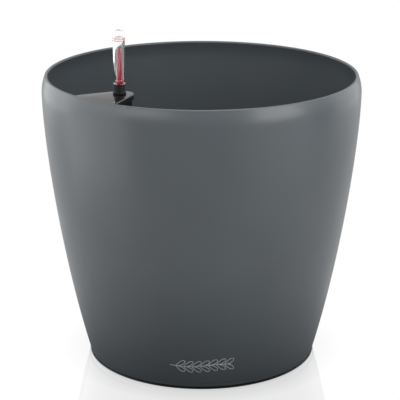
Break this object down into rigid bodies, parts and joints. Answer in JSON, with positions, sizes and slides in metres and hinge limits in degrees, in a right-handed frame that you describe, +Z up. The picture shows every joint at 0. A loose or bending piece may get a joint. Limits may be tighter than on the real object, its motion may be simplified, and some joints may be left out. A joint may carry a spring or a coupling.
{
  "type": "self watering planter",
  "caption": "Round tapered self-watering planter with a lift-out soil separator on wick cups, a lidded watering shaft and a float-type water level indicator.",
  "frame": {"origin": "centre of the underside, on the surface that the planter stands on", "axes": "+Z up along the pot's axis; -Y is the front; the watering shaft is at the front left, 133.6 degrees clockwise from +X"},
  "size_m": [0.28, 0.28, 0.3075],
  "materials": {
    "slate_shell": "satin slate grey",
    "black_plastic": "satin black",
    "clear_plastic": "clear plastic",
    "red_plastic": "glossy red",
    "float_foam": "white foam plastic",
    "seal_rubber": "black rubber"
  },
  "bodies": {
    "pot": {"planter_shell": "slate_shell", "overflow_pipe": "black_plastic", "overflow_gasket": "seal_rubber", "overflow_nut": "black_plastic"},
    "drain_plug": {"drain_plug": "black_plastic", "drain_plug_seal": "seal_rubber"},
    "insert": {"separator_plate": "black_plastic", "wick_cup_1": "black_plastic", "wick_cup_2": "black_plastic", "wick_cup_3": "black_plastic", "wick_cup_4": "black_plastic", "watering_shaft": "black_plastic", "shaft_strainer": "black_plastic"},
    "lid": {"shaft_lid": "black_plastic"},
    "indicator": {"indicator_tube": "black_plastic", "indicator_foot": "black_plastic", "indicator_head": "clear_plastic"},
    "float": {"float_pointer": "red_plastic", "float_stem": "float_foam", "float_body": "float_foam"}
  },
  "joints": [
    {"name": "insert_lift", "type": "slide", "parent": "pot", "child": "insert", "axis": [0, 0, 1], "range_m": [0, 0.27]},
    {"name": "lid_lift", "type": "slide", "parent": "insert", "child": "lid", "axis": [0, 0, 1], "range_m": [0, 0.25]},
    {"name": "indicator_lift", "type": "slide", "parent": "lid", "child": "indicator", "axis": [0, 0, 1], "range_m": [0, 0.25]},
    {"name": "float_rise", "type": "slide", "parent": "indicator", "child": "float", "axis": [0, 0, 1], "range_m": [0, 0.0125]},
    {"name": "drain_plug_turn", "type": "hinge", "parent": "pot", "child": "drain_plug", "pos_m": [0, 0, 0.008], "axis": [0, 0, 1], "range_deg": [-90, 0]}
  ]
}
